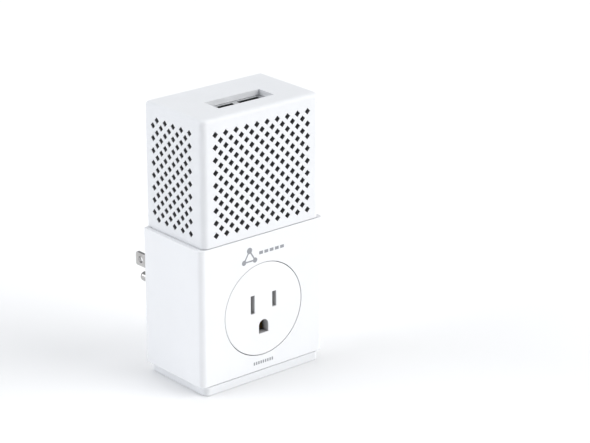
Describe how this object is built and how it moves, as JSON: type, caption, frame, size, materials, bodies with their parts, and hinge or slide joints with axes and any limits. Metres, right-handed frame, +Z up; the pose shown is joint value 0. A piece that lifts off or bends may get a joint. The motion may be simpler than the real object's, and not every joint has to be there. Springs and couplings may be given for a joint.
{
  "type": "powerline adapter",
  "caption": "Wall-plug powerline network adapter with a grounded pass-through outlet, a perforated upper cover and network jacks in a top recess.",
  "frame": {"origin": "middle of the plinth's bottom face", "axes": "+X to the right seen from the front, +Y towards the wall (the prongs point this way), +Z up"},
  "size_m": [0.0727, 0.0628, 0.131],
  "materials": {
    "sleeve_white": "polished",
    "cover_white": "fine satin",
    "rear_white": "satin",
    "outlet_white": "smooth",
    "socket_nylon": "moulded",
    "key_white": "satin",
    "liner_black": "sheet",
    "label_silver": "printed film",
    "nickel": "bright nickel plate",
    "brass": "stamped",
    "jack_black": "moulded",
    "jack_steel": "tinned",
    "gold_wire": "gold plated",
    "board_green": "solder mask",
    "chip_black": "moulded epoxy",
    "sink_aluminium": "extruded",
    "lamp_clear": "clear",
    "ferrite": "sintered",
    "winding_tape": "tape",
    "capacitor_sleeve": "shrink sleeve",
    "film_box": "moulded box",
    "fuse_sleeve": "sleeve",
    "varistor_blue": "dipped",
    "screw_steel": "zinc plated"
  },
  "bodies": {
    "case": {"front_sleeve": "sleeve_white", "base_plinth": "cover_white", "vent_cover": "cover_white", "rear_cover": "rear_white", "rating_label": "label_silver", "insulating_liner": "liner_black", "receptacle_face": "outlet_white", "receptacle_body": "socket_nylon", "neutral_clip": "brass", "hot_clip": "brass", "ground_clip": "brass", "neutral_bus": "brass", "hot_bus": "brass", "ground_bus": "brass", "plug_base": "rear_white", "prong_neutral": "nickel", "prong_hot": "nickel", "ground_pin": "nickel", "neutral_link": "brass", "hot_link": "brass", "jack_housing": "jack_black", "jack_shield": "jack_steel", "jack_contacts": "gold_wire", "main_board": "board_green", "powerline_chip": "chip_black", "ethernet_chip": "chip_black", "memory_chip": "chip_black", "crystal": "jack_steel", "ethernet_magnetics": "chip_black", "heat_sink": "sink_aluminium", "status_leds": "lamp_clear", "light_guide": "lamp_clear", "coupling_transformer": "ferrite", "power_board": "board_green", "flyback_core": "ferrite", "flyback_winding": "winding_tape", "line_choke": "ferrite", "bulk_capacitor": "capacitor_sleeve", "output_capacitor": "capacitor_sleeve", "x_capacitor": "film_box", "fuse": "fuse_sleeve", "varistor": "varistor_blue", "rectifier": "chip_black", "tact_switch": "chip_black", "housing_screws": "screw_steel", "board_screws": "screw_steel"},
    "pair_key": {"pair_button": "key_white", "switch_plunger": "key_white"}
  },
  "joints": [
    {"name": "pair_key_press", "type": "slide", "parent": "case", "child": "pair_key", "axis": [-1, 0, 0], "range_m": [0, 0.0006], "stiffness_N_per_m": 300}
  ]
}
